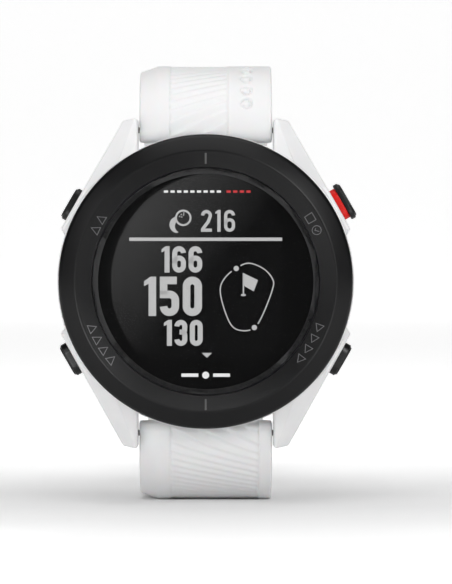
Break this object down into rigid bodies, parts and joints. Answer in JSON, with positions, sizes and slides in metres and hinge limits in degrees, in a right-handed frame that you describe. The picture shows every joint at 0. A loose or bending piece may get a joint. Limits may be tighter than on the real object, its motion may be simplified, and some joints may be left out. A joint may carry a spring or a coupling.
{
  "type": "golf gps watch",
  "caption": "Round wrist watch for golf with a square display behind glass, side buttons and a ribbed strap in two halves with a buckle.",
  "frame": {"origin": "centre of the flat case back", "axes": "+X to 3 o'clock, +Y out of the case back, +Z to 12 o'clock with the watch upright on its lower strap half"},
  "size_m": [0.0447, 0.1069, 0.0659],
  "materials": {
    "bezel": "satin black moulded polymer",
    "lens": "clear chemically strengthened glass",
    "seal": "matt",
    "mask_ink": "black ink",
    "display": "dark reflective display",
    "light_guide": "milky clear",
    "flex": "amber film",
    "frame_plastic": "moulded",
    "board": "solder mask",
    "shield": "tinned",
    "battery": "pouch foil",
    "pad": "adhesive foam",
    "case": "satin white moulded polymer",
    "rear_cover": "satin black moulded polymer",
    "fastener": "machined",
    "gold": "gold plated",
    "switch": "moulded",
    "button": "satin black",
    "collar": "red",
    "strap": "white silicone",
    "bar_steel": "drawn wire",
    "buckle_steel": "brushed"
  },
  "bodies": {
    "head": {"bezel": "bezel", "lens": "lens", "lens_gasket": "seal", "lens_mask": "mask_ink", "display_module": "display", "light_guide": "light_guide", "display_flex": "flex", "inner_frame": "frame_plastic", "gps_antenna": "flex", "main_board": "board", "processor_shield": "shield", "radio_shield": "shield", "battery": "battery", "battery_pad": "pad", "battery_lead": "flex", "vibration_motor": "shield", "case": "case", "bezel_seal": "seal", "rear_cover": "rear_cover", "rear_cover_gasket": "seal", "rear_screws": "fastener", "contact_block": "rear_cover", "charging_contacts": "gold", "tact_switches": "switch", "button_springs": "fastener"},
    "up_button_body": {"up_button": "button", "up_button_ring": "seal", "up_button_clip": "fastener"},
    "down_button_body": {"down_button": "button", "down_button_ring": "seal", "down_button_clip": "fastener"},
    "back_button_body": {"back_button": "button", "back_button_ring": "seal", "back_button_clip": "fastener"},
    "ok_button_body": {"ok_button": "button", "ok_collar": "collar", "ok_button_ring": "seal", "ok_button_clip": "fastener"},
    "upper_band": {"upper_strap": "strap", "upper_spring_bar": "bar_steel", "upper_release_spring": "fastener", "buckle_pin": "buckle_steel", "fixed_keeper": "strap"},
    "lower_band": {"lower_strap": "strap", "lower_spring_bar": "bar_steel", "lower_release_spring": "fastener"},
    "upper_release": {"upper_release_pin": "bar_steel"},
    "lower_release": {"lower_release_pin": "bar_steel"},
    "buckle": {"buckle_frame": "buckle_steel"},
    "tongue": {"buckle_tongue": "buckle_steel"},
    "keeper": {"free_keeper": "strap"}
  },
  "joints": [
    {"name": "up_press", "type": "slide", "parent": "head", "child": "up_button_body", "axis": [0.866, 0, -0.5], "range_m": [0, 0.00045], "stiffness_N_per_m": 2000},
    {"name": "down_press", "type": "slide", "parent": "head", "child": "down_button_body", "axis": [0.866, 0, 0.5], "range_m": [0, 0.00045], "stiffness_N_per_m": 2000},
    {"name": "back_press", "type": "slide", "parent": "head", "child": "back_button_body", "axis": [-0.866, 0, 0.5], "range_m": [0, 0.00045], "stiffness_N_per_m": 2000},
    {"name": "ok_press", "type": "slide", "parent": "head", "child": "ok_button_body", "axis": [-0.866, 0, -0.5], "range_m": [0, 0.00045], "stiffness_N_per_m": 2000},
    {"name": "upper_band_turn", "type": "hinge", "parent": "head", "child": "upper_band", "pos_m": [0, -0.0032, 0.0227], "axis": [-1, 0, 0], "range_deg": [-50, 24]},
    {"name": "lower_band_turn", "type": "hinge", "parent": "head", "child": "lower_band", "pos_m": [0, -0.0032, -0.0227], "axis": [-1, 0, 0], "range_deg": [-14, 0]},
    {"name": "upper_release_slide", "type": "slide", "parent": "upper_band", "child": "upper_release", "axis": [-1, 0, 0], "range_m": [0, 0.0013], "stiffness_N_per_m": 600},
    {"name": "lower_release_slide", "type": "slide", "parent": "lower_band", "child": "lower_release", "axis": [-1, 0, 0], "range_m": [0, 0.0013], "stiffness_N_per_m": 600},
    {"name": "buckle_turn", "type": "hinge", "parent": "upper_band", "child": "buckle", "pos_m": [0, 0.06358, 0.00696], "axis": [1, 0, 0], "range_deg": [-50, 0]},
    {"name": "tongue_turn", "type": "hinge", "parent": "upper_band", "child": "tongue", "pos_m": [0, 0.06358, 0.00696], "axis": [1, 0, 0], "range_deg": [0, 75]},
    {"name": "keeper_slide", "type": "slide", "parent": "upper_band", "child": "keeper", "axis": [0, -0.866, 0.5], "range_m": [0, 0.009]}
  ]
}
